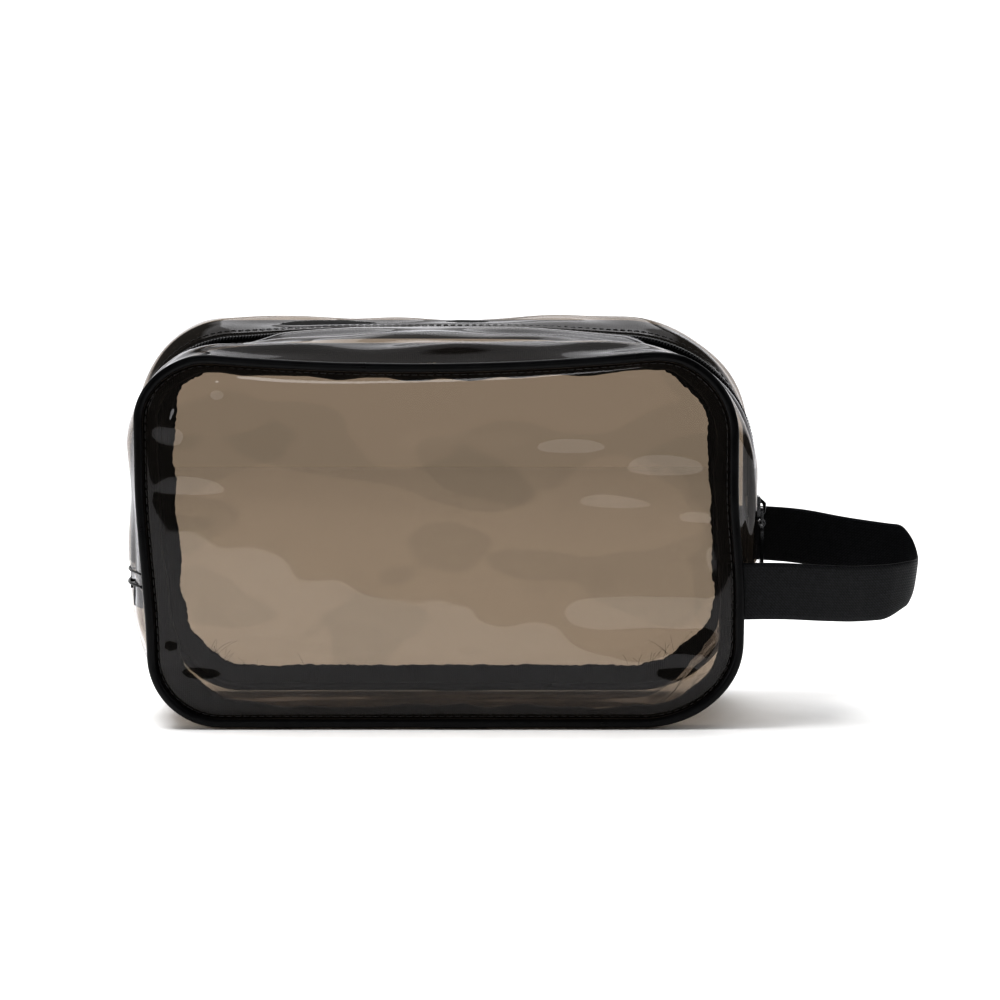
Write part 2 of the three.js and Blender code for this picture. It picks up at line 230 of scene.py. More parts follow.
def stations_below(height):
    """Station numbers from the left side under the base to the right side, below a height."""
    above = stations_above(height)
    return list(range(above[-1], COUNT)) + list(range(0, above[0] + 1))


# ---- meshes ----

def new_object(name, vertices, faces, material):
    mesh = bpy.data.meshes.new(name)
    mesh.from_pydata(np.asarray(vertices).reshape(-1, 3).tolist(), [], faces)
    mesh.validate()
    mesh.polygons.foreach_set("use_smooth", [True] * len(mesh.polygons))
    mesh.materials.append(material)
    mesh.update()
    obj = bpy.data.objects.new(name, mesh)
    bpy.context.scene.collection.objects.link(obj)
    return obj


def grid_faces(rows, columns, close_rows=False, close_columns=False):
    faces = []
    for i in range(rows if close_rows else rows - 1):
        for j in range(columns if close_columns else columns - 1):
            a, b = i * columns + j, i * columns + (j + 1) % columns
            c, d = ((i + 1) % rows) * columns + (j + 1) % columns, ((i + 1) % rows) * columns + j
            faces.append((a, b, c, d))
    return faces


def sheet_object(name, grid, material):
    return new_object(name, grid, grid_faces(*grid.shape[:2]), material)


def end_faces(rows, columns):
    """The two faces that close a tube's ends."""
    return [tuple(range(columns))[::-1], tuple((rows - 1) * columns + j for j in range(columns))]


def slab_object(name, outer, inner, material, close_rows=False):
    """A closed strip between an outer and an inner grid of points."""
    loop = np.concatenate([outer, inner[:, ::-1]], 1)
    rows, columns = loop.shape[:2]
    faces = grid_faces(rows, columns, close_rows=close_rows, close_columns=True)
    if not close_rows:
        faces += end_faces(rows, columns)
    return new_object(name, loop, faces, material)


def frames_along(path, is_loop):
    """Two cross directions at each point of a path, which turn as little as they can along it."""
    step = np.roll(path, -1, 0) - np.roll(path, 1, 0) if is_loop else np.gradient(path, axis=0)
    tangents = step / np.linalg.norm(step, axis=1, keepdims=True)
    side = np.cross(tangents[0], (0.0, 1.0, 0.0))
    if np.linalg.norm(side) < 0.1:
        side = np.cross(tangents[0], (0.0, 0.0, 1.0))
    sides = []
    for tangent in tangents:
        side = side - tangent * (side @ tangent)
        side /= np.linalg.norm(side)
        sides.append(side)
    sides = np.array(sides)
    return sides, np.cross(tangents, sides)


def tube_mesh(path, radius, around, is_loop=False):
    """Vertices and faces of a round tube. radius is a number or one for each point."""
    path = np.asarray(path, float)
    sides, ups = frames_along(path, is_loop)
    angles = np.arange(around) / around * 2 * math.pi
    ring = np.cos(angles)[None, :, None] * sides[:, None] + np.sin(angles)[None, :, None] * ups[:, None]
    radius = np.broadcast_to(radius, (len(path),))[:, None, None]
    vertices = (path[:, None] + ring * radius).reshape(-1, 3)
    faces = grid_faces(len(path), around, close_rows=is_loop, close_columns=True)
    if not is_loop:
        faces += end_faces(len(path), around)
    return vertices, faces


def joined(name, parts, material):
    """One object from several (vertices, faces) parts."""
    vertices, faces, first = [], [], 0
    for part_vertices, part_faces in parts:
        vertices.append(part_vertices)
        faces += [tuple(first + k for k in face) for face in part_faces]
        first += len(part_vertices)
    return new_object(name, np.concatenate(vertices), faces, material)


def resampled(path, spacing):
    """Points at even distances along a polyline, and their places along it as fractional indices."""
    lengths = np.concatenate([[0], np.cumsum(np.linalg.norm(np.diff(path, axis=0), axis=1))])
    count = max(2, int(round(lengths[-1] / spacing)) + 1)
    wanted = np.linspace(0, lengths[-1], count)
    index = np.interp(wanted, lengths, np.arange(len(path)))
    return at_index(path, index), index


def at_index(values, index):
    """Rows of values at fractional indices."""
    base = np.clip(index.astype(int), 0, len(values) - 2)
    part = (index - base)[:, None]
    return values[base] * (1 - part) + values[base + 1] * part


# ---- materials ----

class Nodes:
    """The nodes of a new material or world, with a short way to add each kind that is used here.

    An input is given as a value, or as another node's output."""

    def __init__(self, owner):
        self.owner = owner
        owner.use_nodes = True
        self.tree = owner.node_tree
        self.tree.nodes.clear()

    def put(self, socket, value):
        if isinstance(value, bpy.types.NodeSocket):
            self.tree.links.new(value, socket)
        else:
            socket.default_value = value

    def add(self, kind, **inputs):
        node = self.tree.nodes.new("ShaderNode" + kind)
        for name, value in inputs.items():
            self.put(node.inputs[name.replace("_", " ")], value)
        return node

    def place(self, scale=(1, 1, 1)):
        """The object's own coordinates in metres, times scale."""
        coordinates = self.add("TexCoord").outputs["Object"]
        return self.add("Mapping", Vector=coordinates, Scale=scale).outputs["Vector"]

    def noise(self, vector, scale, detail):
        return self.add("TexNoise", Vector=vector, Scale=scale, Detail=detail).outputs["Fac"]

    def wave(self, vector, scale, direction, distortion=0.0):
        wave = self.add("TexWave", Vector=vector, Scale=scale, Distortion=distortion)
        wave.bands_direction = direction
        return wave.outputs["Fac"]

    def math(self, operation, first, second):
        node = self.add("Math")
        node.operation = operation
        self.put(node.inputs[0], first)
        self.put(node.inputs[1], second)
        return node.outputs["Value"]

    def ramp(self, factor, low, high, low_at=0.35, high_at=0.65):
        ramp = self.add("ValToRGB", Fac=factor)
        for element, place, colour in zip(ramp.color_ramp.elements, (low_at, high_at), (low, high)):
            element.position = place
            element.color = (*colour, 1)
        return ramp.outputs["Color"]

    def spread(self, factor, low, high):
        return self.add("MapRange", Value=factor, To_Min=low, To_Max=high).outputs["Result"]

    def bump(self, height, strength, distance):
        return self.add("Bump", Height=height, Strength=strength, Distance=distance).outputs["Normal"]

    def mix(self, share, first, second):
        """Two shaders mixed, with this share of the second."""
        node = self.add("MixShader", Fac=share)
        self.put(node.inputs[1], first)
        self.put(node.inputs[2], second)
        return node.outputs["Shader"]

    def principled(self, **inputs):
        """Ends the material in one Principled shader, and gives the material."""
        shader = self.add("BsdfPrincipled", **inputs).outputs["BSDF"]
        self.add("OutputMaterial", Surface=shader)
        return self.owner


def new_nodes(name):
    return Nodes(bpy.data.materials.new(name))


def film_material(name, tint, dark_tint):
    """Clear smoke-tinted film: light goes straight through, with a little haze, under a mirror gloss."""
    nodes = new_nodes(name)
    cloud = nodes.noise(nodes.place((0.45, 1, 1)), 24.0, 1.5)
    through = nodes.add("BsdfTransparent", Color=nodes.ramp(cloud, dark_tint, tint, 0.452, 0.458))
    haze = nodes.add("BsdfDiffuse", Color=(0.30, 0.27, 0.24, 1))
    body = nodes.mix(0.035, through.outputs["BSDF"], haze.outputs["BSDF"])

    fine = nodes.noise(nodes.place(), 900.0, 2.0)
    normal = nodes.bump(fine, 0.012, 0.05 * MM)
    gloss = nodes.add("BsdfGlossy", Color=(0.97, 0.97, 1.0, 1), Roughness=0.03, Normal=normal)
    facing = nodes.add("LayerWeight", Blend=0.5).outputs["Facing"]
    share = nodes.spread(nodes.math("POWER", facing, 4.0), 0.034, 0.85)
    nodes.add("OutputMaterial", Surface=nodes.mix(share, body, gloss.outputs["BSDF"]))
    return nodes.owner


def piping_material():
    """Black vinyl piping: satin gloss, faint scuffs and a slight orange peel."""
    nodes = new_nodes("black_vinyl")
    scuffs = nodes.noise(nodes.place(), 140.0, 6.0)
    peel = nodes.noise(nodes.place(), 1400.0, 2.0)
    return nodes.principled(
        Base_Color=nodes.ramp(scuffs, (0.0035, 0.0035, 0.004), (0.007, 0.007, 0.008)),
        Roughness=nodes.spread(scuffs, 0.2, 0.42),
        Normal=nodes.bump(peel, 0.25, 0.08 * MM),
        Specular_IOR_Level=0.2,
    )


def woven_material(name, dark, light, pitch):
    """A plain weave of black yarn, its threads pitch metres apart. Each wave spans about two of them."""
    nodes = new_nodes(name)
    place = nodes.place()
    scale = 1 / (pitch * 2 * math.pi)
    warp, weft, deep = [nodes.wave(place, scale, direction, 0.3) for direction in ("X", "Z", "Y")]
    threads = nodes.math("MULTIPLY", warp, nodes.math("MAXIMUM", weft, deep))
    fuzz = nodes.noise(place, 500.0, 4.0)
    return nodes.principled(
        Base_Color=nodes.ramp(fuzz, dark, light),
        Roughness=0.85,
        Sheen_Weight=0.08,
        Sheen_Roughness=0.4,
        Normal=nodes.bump(nodes.math("ADD", threads, fuzz), 0.6, 0.15 * MM),
    )


def webbing_material():
    """Nylon webbing: ribs along its length, crossed by a twill. Its colour is lighter where the yarns stand
    up, a painted highlight, and darker in the grooves between them, painted shade, over random fuzz.
    """
    nodes = new_nodes("webbing")
    weave = nodes.add("UVMap")
    weave.uv_map = "Weave"
    ribs = nodes.wave(weave.outputs["UV"], 2.6, "Y")
    twill = nodes.wave(weave.outputs["UV"], 4.6, "DIAGONAL")
    fuzz = nodes.noise(nodes.place(), 700.0, 3.0)
    height = nodes.math("ADD", nodes.math("MULTIPLY", ribs, twill), fuzz)
    return nodes.principled(
        # painted highlight and painted shade: the colour follows the weave's height, lighter on the raised
        # yarns and darker in the grooves; the fuzz in it is random tone
        Base_Color=nodes.ramp(height, (0.002, 0.0022, 0.0026), (0.018, 0.019, 0.022), 0.5, 1.0),
        Roughness=nodes.spread(ribs, 0.42, 0.7),
        Sheen_Weight=0.02,
        Specular_IOR_Level=0.35,
        Normal=nodes.bump(height, 0.6, 0.15 * MM),
    )


def nylon_material():
    """The zip coil's black nylon, polished in patches by the slider."""
    nodes = new_nodes("coil_nylon")
    wear = nodes.noise(nodes.place(), 300.0, 3.0)
    return nodes.principled(
        Base_Color=nodes.ramp(wear, (0.010, 0.010, 0.011), (0.03, 0.03, 0.031)),
        Roughness=nodes.spread(wear, 0.15, 0.3),
    )


def slider_material():
    """Black-plated zinc: dark, satin, worn a little lighter in patches."""
    nodes = new_nodes("black_plating")
    wear = nodes.noise(nodes.place(), 420.0, 5.0)
    pits = nodes.noise(nodes.place(), 2600.0, 2.0)
    return nodes.principled(
        Base_Color=nodes.ramp(wear, (0.10, 0.10, 0.103), (0.15, 0.15, 0.155)),
        Metallic=0.9,
        Roughness=nodes.spread(wear, 0.14, 0.30),
        Normal=nodes.bump(pits, 0.15, 0.05 * MM),
    )


def thread_material():
    """Black sewing thread, with its twist as fine light and dark."""
    nodes = new_nodes("thread")
    twist = nodes.noise(nodes.place(), 1800.0, 2.0)
    return nodes.principled(
        Base_Color=nodes.ramp(twist, (0.006, 0.006, 0.006), (0.03, 0.03, 0.03)),
        Roughness=0.6,
        Sheen_Weight=0.3,
    )


FILM = film_material("smoke_film", (0.482, 0.430, 0.374), (0.446, 0.401, 0.349))
VINYL = piping_material()
BINDING = woven_material("binding_weave", (0.002, 0.002, 0.002), (0.007, 0.006, 0.006), 0.45 * MM)
TAPE = woven_material("zip_tape_weave", (0.003, 0.003, 0.003), (0.010, 0.010, 0.010), 0.35 * MM)
NYLON = nylon_material()
PLATING = slider_material()
THREAD = thread_material()
WEBBING = webbing_material()


def finish_piece(obj, replaced=(), body="bag_body", fold=False):
    """Hides the CAD nodes a piece stands for, and sets how it moves: on a body's empty, or, at the front's
    fold, unparented with its place baked into its mesh.
    """
    if replaced:
        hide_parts(*replaced)
    if fold:
        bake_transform(obj)
    else:
        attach(obj, body)


# ---- panels ----

# Soft dents of each panel: x, z, half width, half height and depth, in mm. A minus sign is a dent inwards.
FRONT_DENTS = [
    (56, 117.5, 17, 5.5, -1.0), (95, 108, 20, 7, -1.1), (80, 94, 22, 7, -0.9), (108, 88, 9, 4, -0.5),
    (92, 57, 26, 8, 0.5), (92, 44, 26, 8, -0.5), (103, 27, 7, 3, -0.5), (110, 12, 3.8, 3.8, 2.5),
    (-105, 101, 12, 4.5, -0.8), (-116, 124, 5, 4, -0.5), (-116, 40, 5, 2.5, -0.4), (-104, 21, 12, 4, 0.9),
    (-93, 148, 5, 5, 1.1), (-114, 131, 6, 6, 1.8), (-112, 14, 8, 3, 0.7), (-117, 33, 5, 2.5, 0.6),
]
BACK_DENTS = [
    (-90, 118, 18, 12, 0.8), (10, 125, 45, 12, -1.0), (60, 60, 30, 14, 0.8), (-40, 40, 26, 12, -0.8),
]
PANEL_RINGS = 60
PANEL_CROWN = 3.4 * MM


def dents(flat, shapes):
    """How far dents of these shapes move each point of a flat panel outwards."""
    x, z = flat[..., 0] / MM, flat[..., 2] / MM
    total = np.zeros(x.shape)
    for middle_x, middle_z, wide, high, depth in shapes:
        total += depth * MM * np.exp(-(((x - middle_x) / wide) ** 2 + ((z - middle_z) / high) ** 2))
    return total


def front_twist(flat):
    """The front leans differently above a slanting line and below it, where it mirrors the floor."""
    x = flat[..., 0]
    above = flat[..., 2] - 57 * MM + 0.31 * x
    return -(0.026 + 0.36 * x) * 30 * MM * np.tanh(above / (30 * MM))


def panel_relief(flat, side):
    """How far the panel's film stands out of its plane: slow waves, dents and, in front, a twist."""
    seed = 11 if side < 0 else 23
    relief = 0.35 * MM * ripple(flat, 70 * MM, seed) + 0.1 * MM * ripple(flat, 20 * MM, seed + 1)
    if side < 0:
        return relief + dents(flat, FRONT_DENTS) + front_twist(flat)
    return relief + dents(flat, BACK_DENTS)


def panel_grid(side):
    """A panel as rings from its seam to its middle. side is -1 for the front and 1 for the back."""
    points, normals = OUTLINES["front" if side < 0 else "back"]
    edge = points - normals * PANEL_INSET
    centre = np.array([0.0, (SEAM_LOW + SEAM_TOP) / 2])
    share = np.linspace(0, 1, PANEL_RINGS) ** 1.6
    rings = edge[None] * (1 - share)[:, None, None] + centre[None, None] * share[:, None, None]
    inwards = np.linalg.norm(edge - centre, axis=1)[None] * share[:, None]
    rise = PANEL_CROWN * (1 - np.exp(-inwards / (4.5 * MM)))
    flat = to_3d(rings, 0.0)
    relief = panel_relief(flat, side) * np.minimum(1, inwards / (12 * MM))
    return to_3d(rings, side * (SEAM_DEPTH - 1.0 * MM + rise + relief))


def make_panel(name, side, replaced, fold):
    grid = panel_grid(side)
    faces = grid_faces(*grid.shape[:2], close_columns=True)
    finish_piece(new_object(name, grid, faces, FILM), replaced, fold=fold)


# ---- band: base gusset and zip strips ----

def film_folds(points, amount, seed):
    """Soft creases that run round the band."""
    stretched = points * np.array([1.0, 5.0, 1.0])
    return amount * ripple(stretched, 42 * MM, seed)


def corner_gathers(grid):
    """Fine gathers across the band, where it is sewn round the two lower corners."""
    corner = smooth(np.abs(grid[..., 0]), 78 * MM, 104 * MM) * (1 - smooth(grid[..., 2], 22 * MM, 46 * MM))
    return corner * 0.9 * MM * ripple(grid * np.array([1.0, 0.16, 1.0]), 5.5 * MM, 17)


def caved_end(grid, depths):
    """Under the strap the band's right end falls in, most in the middle, and creases there."""
    caved = smooth(grid[..., 0], 92 * MM, 118 * MM) * (1 - smooth(grid[..., 2], 44 * MM, 62 * MM))
    caved = caved * np.cos(np.clip(depths / SEAM_DEPTH, -1, 1) * math.pi / 2)[None]
    return 0.5 * MM * caved * ripple(grid * np.array([1, 0.12, 1]), 4 * MM, 21) - 9 * MM * caved


def make_base_gusset():
    stations = stations_below(ZIP_LOW)
    depths = np.linspace(-SEAM_DEPTH + BAND_INSET, SEAM_DEPTH - BAND_INSET, 52)
    grid = shell(depths)[stations]
    normals = shell_normals()[stations][:, None]
    edge = 1 - np.abs(depths / SEAM_DEPTH)[None, :, None] ** 4
    folds = film_folds(grid, 1.3 * MM, 5) + 0.45 * MM * ripple(grid * np.array([0.4, 1, 1]), 9 * MM, 19)
    folds = folds + corner_gathers(grid) + caved_end(grid, depths)
    grid = grid + normals * edge * folds[..., None]
    grid[..., 2] = np.maximum(grid[..., 2], GROUND_GAP)
    finish_piece(sheet_object("base_gusset_film", grid, FILM), ["base_gusset"])


def lifted_edge(grid, depths):
    """Over the middle of the top, the front strip's free edge curls up in front of the coil."""
    along = bank(grid[..., 0], -84 * MM, -66 * MM, 80 * MM, 96 * MM)
    on_top = smooth(grid[..., 2], 140 * MM, 155 * MM)
    across = 1 - smooth(np.abs(depths), STRIP_EDGE, STRIP_EDGE + 14 * MM)
    return 3.0 * MM * along * on_top * across[None]


def make_zip_strip(name, side, replaced, fold):
    stations = stations_above(ZIP_LOW)
    depths = side * np.linspace(STRIP_EDGE, SEAM_DEPTH - BAND_INSET, 30)
    grid = shell(depths, out=1.0 * MM)[stations]
    normals = shell_normals()[stations][:, None]
    weight = np.sin(np.linspace(0, math.pi, len(depths)))[None, :, None]
    grid = grid + normals * weight * film_folds(grid, 1.9 * MM, 7 + side)[..., None]
    if side < 0:
        grid = grid + normals * lifted_edge(grid, depths)[..., None]
    finish_piece(sheet_object(name, grid, FILM), replaced, fold=fold)


# ---- piping and binding ----

def seam_path(side):
    """A seam's line as a loop of even steps, without its first point again."""
    points, _ = OUTLINES["front" if side < 0 else "back"]
    path, _ = resampled(closed(points), 1.0 * MM)
    return to_3d(path[:-1], side * SEAM_DEPTH)


def make_piping(name, side, replaced, fold):
    """Piping that is a little thicker where its ends overlap, in the middle of the base."""
    path = seam_path(side)
    splice = bank(path[:, 0], -4 * MM, -2 * MM, 20 * MM, 22 * MM) * (path[:, 2] < 50 * MM)
    radius = 0.87 * PIPE_RADIUS * (1 + 0.035 * ripple(path, 16 * MM, 31 if side < 0 else 37))
    vertices, faces = tube_mesh(path, radius * (0.97 + 0.09 * splice), around=20, is_loop=True)
    finish_piece(new_object(name, vertices, faces, VINYL), replaced, fold=fold)


def make_back_binding():
    """Woven tape over the back seam's edges. It lies against the back panel, and its cut edge is ragged."""
    points, normals = OUTLINES["back"]
    path, index = resampled(closed(points), 0.5 * MM)
    outward = at_index(closed(normals), index)
    place = to_3d(path, 0.0)
    corner = 4 * np.abs(outward[:, 0] * outward[:, 1]) ** 1.5
    width = 5.9 * MM + 2.5 * MM * np.clip(-outward[:, 1], 0, 1) + corner * 1.6 * MM
    uneven = 0.5 + 0.9 * np.abs(outward[:, 0])
    width = width + uneven * MM * ripple(place, 14 * MM, 3) + 0.35 * MM * ripple(place, 1.6 * MM, 4)
    share = np.linspace(0, 1, 8)[None, :, None]
    grid = path[:, None] - outward[:, None] * (PANEL_INSET + width[:, None, None] * share)
    wave = 0.8 * MM * ripple(place, 11 * MM, 6)[:, None] * share[..., 0]
    front_face = to_3d(grid, SEAM_DEPTH - 1.8 * MM + wave)
    back_face = to_3d(grid, SEAM_DEPTH - 1.2 * MM + wave)
    binding = slab_object("back_binding_tape", front_face[:-1], back_face[:-1], BINDING, close_rows=True)
    finish_piece(binding, ["back_binding"])


def make_loose_threads():
    """Yarn ends that have come loose from the cut edge of the back binding, most at the lower corners."""
    random = np.random.RandomState(4)
    t = np.linspace(0, 1, 7)
    parts = []
    for middle_x, spread, count in ((-104, 9, 16), (96, 7, 12), (-14, 40, 3), (60, 25, 3)):
        for _ in range(count):
            x = middle_x + spread * random.randn()
            low = 10.5 + 15 * float(smooth(abs(x), 88, 120)) + random.rand()
            lean = 0.9 * random.randn()
            length = 3 + 7 * random.rand()
            curl = 1.2 * random.randn()
            across = x + length * 0.5 * lean * t + curl * t**2
            up = low + length * t * (1 - 0.25 * t)
            path = to_3d(np.stack([across, up], 1) * MM, SEAM_DEPTH - 1.8 * MM - 1.2 * MM * t)
            parts.append(tube_mesh(path, 0.06 * MM, around=5))
    finish_piece(joined("loose_threads", parts, THREAD))


def make_front_binding():
    """The front seam's binding is turned back along the band, and leans away from it at its free edge."""
    points, normals = OUTLINES["front"]
    path, index = resampled(closed(points), 0.7 * MM)
    outward = at_index(closed(normals), index)
    place = to_3d(path, 0.0)
    share = np.linspace(0, 1, 8)[None]
    bunched = np.exp(-np.sum((path - np.array([-104, 20]) * MM) ** 2, 1) / (24 * MM) ** 2)
    angle = 0.46 + 0.26 * np.abs(outward[:, 0]) + 0.7 * bunched + 0.16 * ripple(place, 17 * MM, 8)
    ragged = 0.5 * MM * ripple(place, 7 * MM, 10) + 0.2 * MM * ripple(place, 1.6 * MM, 9)
    width = 8.8 * MM + 6 * MM * bunched + ragged
    lean = (width * np.sin(angle))[:, None] * share**1.3
    depth = -SEAM_DEPTH + 1.4 * MM + (width * np.cos(angle))[:, None] * share

    def face(out):
        inset = 1.2 * MM - out + lean
        return to_3d(path[:, None] - outward[:, None] * inset[..., None], depth)[:-1]

    binding = slab_object("front_binding_tape", face(0.0), face(-0.6 * MM), BINDING, close_rows=True)
    finish_piece(binding, ["front_binding_lower", "front_binding_upper"], fold=True)


def across_band(height, side, depths, out):
    """A level line across the band, on its right side (1) or its left side (-1)."""
    stations = np.arange(STEPS["base"], STEPS["base"] + 2 * STEPS["corner"] + STEPS["side"])
    if side < 0:
        stations = COUNT - stations
    columns = shell(depths, out)[stations].transpose(1, 0, 2)
    x = [np.interp(height, column[:, 2], column[:, 0]) for column in columns]
    return np.stack([x, depths, np.full(len(depths), height)], 1)


def make_end_bindings():
    low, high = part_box("right_end_binding")
    depths = np.linspace(low.y - 6 * MM, high.y + 6 * MM, 24)
    heights = np.linspace(low.z, high.z, 9)
    for name, side in (("right", 1), ("left", -1)):
        outer = np.array([across_band(z, side, depths, -0.8 * MM) for z in heights])
        inner = np.array([across_band(z, side, depths, -1.5 * MM) for z in heights])
        binding = slab_object(f"{name}_end_binding_tape", outer, inner, BINDING)
        finish_piece(binding, [f"{name}_end_binding"])


def make_cross_seams():
    """Where a zip strip is sewn to the base gusset: two folded edges that stand proud across the band."""
    depths = np.linspace(-SEAM_DEPTH + 2.5 * MM, SEAM_DEPTH - 2.5 * MM, 60)
    for name, side in (("right", 1), ("left", -1)):
        edges = [(ZIP_LOW + 0.6 * MM, 0.5 * MM), (ZIP_LOW - 5.0 * MM, 0.7 * MM)]
        parts = [tube_mesh(across_band(z, side, depths, 0.9 * MM), radius, around=8) for z, radius in edges]
        finish_piece(joined(f"{name}_cross_seam", parts, VINYL))


# ---- zip ----

def make_zip_tape(name, side, replaced, fold):
    """Half of the zip's woven tape, from the middle of the zip to under its strip."""
    stations = stations_above(TAPE_LOW)
    depths = side * np.linspace(0.15 * MM, TAPE_DEPTH, 10)
    outer = shell(depths, out=0.3 * MM)[stations]
    inner = shell(depths, out=-0.2 * MM)[stations]
    finish_piece(slab_object(name, outer, inner, TAPE), replaced, fold=fold)


def make_zip_coil(name, side, replaced, fold):
    """One half of the chain: a nylon wire wound in flat turns, whose heads hook into the other half's."""
    pitch, samples = 1.35 * MM, 10
    stations = stations_above(ZIP_LOW + 1.5 * MM)
    path, index = resampled(shell([0.0], out=0.3 * MM)[stations][:, 0], pitch / samples)
    outward = at_index(shell_normals()[stations], index)
    turn = np.arange(len(path)) / samples * 2 * math.pi + (math.pi if side > 0 else 0)
    rise = 1.5 * MM + 0.8 * MM * np.sin(turn)
    path = path + outward * rise[:, None]
    path[:, 1] = side * (1.55 * MM - 1.75 * MM * np.cos(turn))
    vertices, faces = tube_mesh(path, 0.4 * MM, around=6)
    finish_piece(new_object(name, vertices, faces, NYLON), replaced, fold=fold)


def stitch_parts(path, normals, length, gap, radius):
    """Short stitches along a path, each thinner and a little sunk at its ends."""
    parts = []
    even, index = resampled(path, length + gap)
    outward = at_index(normals, index)
    places, rises = (0, 0.2, 0.5, 0.8, 1), (-1, 0.7, 1, 0.7, -1)
    for i in range(len(even) - 1):
        along = even[i + 1] - even[i]
        along = along / np.linalg.norm(along)
        line = [even[i] + along * length * p + outward[i] * radius * r for p, r in zip(places, rises)]
        parts.append(tube_mesh(line, [radius * 0.5, radius, radius, radius, radius * 0.5], around=6))
    return parts


def make_strip_stitches(name, side, fold):
    """A line of stitches holds each strip's turned edge to the zip tape."""
    stations = stations_above(ZIP_LOW)
    line = shell([side * (STRIP_EDGE + 1.6 * MM)], out=1.15 * MM)[stations][:, 0]
    parts = stitch_parts(line, shell_normals()[stations], 2.4 * MM, 0.7 * MM, 0.16 * MM)
    finish_piece(joined(name, parts, THREAD), fold=fold)


def make_seam_stitches():
    """The seam's stitches show as a line inside the front piping."""
    points, normals = OUTLINES["front"]
    inner = closed(points) - closed(normals) * (PIPE_RADIUS + 0.5 * MM)
    line = to_3d(inner, -SEAM_DEPTH - 0.1 * MM)
    facing = np.tile((0.0, -1.0, 0.0), (len(line), 1))
    parts = stitch_parts(line, facing, 2.6 * MM, 0.9 * MM, 0.17 * MM)
    finish_piece(joined("front_seam_stitches", parts, THREAD), fold=True)


# ---- slider and pull: the CAD's shapes with broken edges ----

def make_metal(node, name, body, width):
    """A copy of a CAD node in plated metal: its flat faces are made whole and its edges rounded by width."""
    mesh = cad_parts[node].data.copy()
    mesh.name = name
    work = bmesh.new()
    work.from_mesh(mesh)
    bmesh.ops.remove_doubles(work, verts=work.verts, dist=0.005 * MM)
    bmesh.ops.dissolve_limit(work, angle_limit=math.radians(4), verts=work.verts, edges=work.edges)
    work.to_mesh(mesh)
    work.free()
    mesh.polygons.foreach_set("use_smooth", [False] * len(mesh.polygons))
    mesh.materials.clear()
    mesh.materials.append(PLATING)
    obj = bpy.data.objects.new(name, mesh)
    bpy.context.scene.collection.objects.link(obj)
    bevel = obj.modifiers.new("edges", "BEVEL")
    bevel.width = width
    bevel.segments = 3
    bevel.limit_method = "ANGLE"
    finish_piece(obj, [node], body=body)


# ---- wrist strap ----

def strap_path():
    """The loop seen from above, from the front seam round to the back one, with a soft kink far out."""
    start = SEAM_WIDTH + 1.5 * MM
    reach = STRAP_HIGH.x - 1.2 * MM
    depth = SEAM_DEPTH - 2.6 * MM
    knots = np.array([
        (start, -depth), (start + 14 * MM, -depth - 0.4 * MM), (start + 34 * MM, -depth + 4 * MM),
        (reach - 26 * MM, -27 * MM), (reach - 10 * MM, -19 * MM), (reach - 2.5 * MM, -11 * MM),
        (reach, -2 * MM), (reach - 1.2 * MM, 5 * MM), (reach - 4 * MM, 9 * MM),
        (reach - 12 * MM, 15 * MM), (reach - 28 * MM, 24 * MM),
        (start + 34 * MM, depth - 6 * MM), (start + 14 * MM, depth), (start, depth),
    ])
    lengths = np.concatenate([[0], np.cumsum(np.linalg.norm(np.diff(knots, axis=0), axis=1))])
    along = np.linspace(0, lengths[-1], 240)
    curve = np.stack([smooth_curve(lengths, knots[:, k], along) for k in (0, 1)], 1)
    return curve, along


def smooth_curve(t, values, wanted):
    """A cubic curve through the values at t, read at the wanted places."""
    slopes = np.gradient(values, t)
    i = np.clip(np.searchsorted(t, wanted) - 1, 0, len(t) - 2)
    step = t[i + 1] - t[i]
    s = (wanted - t[i]) / step
    start, end = values[i], values[i + 1]
    start_slope, end_slope = slopes[i] * step, slopes[i + 1] * step
    ends = (2 * s**3 - 3 * s**2 + 1) * start + (3 * s**2 - 2 * s**3) * end
    return ends + (s**3 - 2 * s**2 + s) * start_slope + (s**3 - s**2) * end_slope


def strap_heights(along, columns):
    """Heights along and across the webbing: it droops, steps up at its far end, and its lower edge curls."""
    share = along / along[-1]
    droop = -3.8 * MM * smooth(share, 0.05, 0.42)
    rise = 4.5 * MM * smooth(share, 0.56, 0.84)
    middle = STRAP_LOW.z + 12.5 * MM + droop + rise
    crease = 13.5 * MM * smooth(share[:, None] - 0.025 * columns[None], 0.46, 0.55)
    curled = 5 * MM * bank(share, 0.35, 0.46, 0.5, 0.62)[:, None] * np.clip(-columns, 0, 1)[None] ** 1.5
    waves = 0.7 * MM * ripple(to_3d(np.stack([along, along * 0], 1), 0.0), 30 * MM, 2)
    return middle[:, None] + columns[None] * WEBBING_HALF + crease + curled + waves[:, None]


def make_strap():
    curve, along = strap_path()
    tangent = np.gradient(curve, axis=0)
    tangent /= np.linalg.norm(tangent, axis=1, keepdims=True)
    across = np.stack([tangent[:, 1], -tangent[:, 0]], 1)
    columns = np.linspace(-1, 1, 17)
    heights = strap_heights(along, columns)
    lean = 0.10 * np.sin(along / along[-1] * math.pi)
    faces = []
    for side in (-1, 1):
        offset = side * WEBBING_THICKNESS / 2 * (1 - 0.25 * np.abs(columns) ** 8)[None]
        offset = offset + lean[:, None] * columns[None] * WEBBING_HALF
        x = curve[:, 0][:, None] + across[:, 0][:, None] * offset
        y = curve[:, 1][:, None] + across[:, 1][:, None] * offset
        faces.append(np.stack([x, y, heights], -1))
    strap = slab_object("wrist_strap_webbing", *faces, WEBBING)
    add_weave_map(strap, along, columns)
    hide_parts("wrist_strap")
    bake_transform(strap)


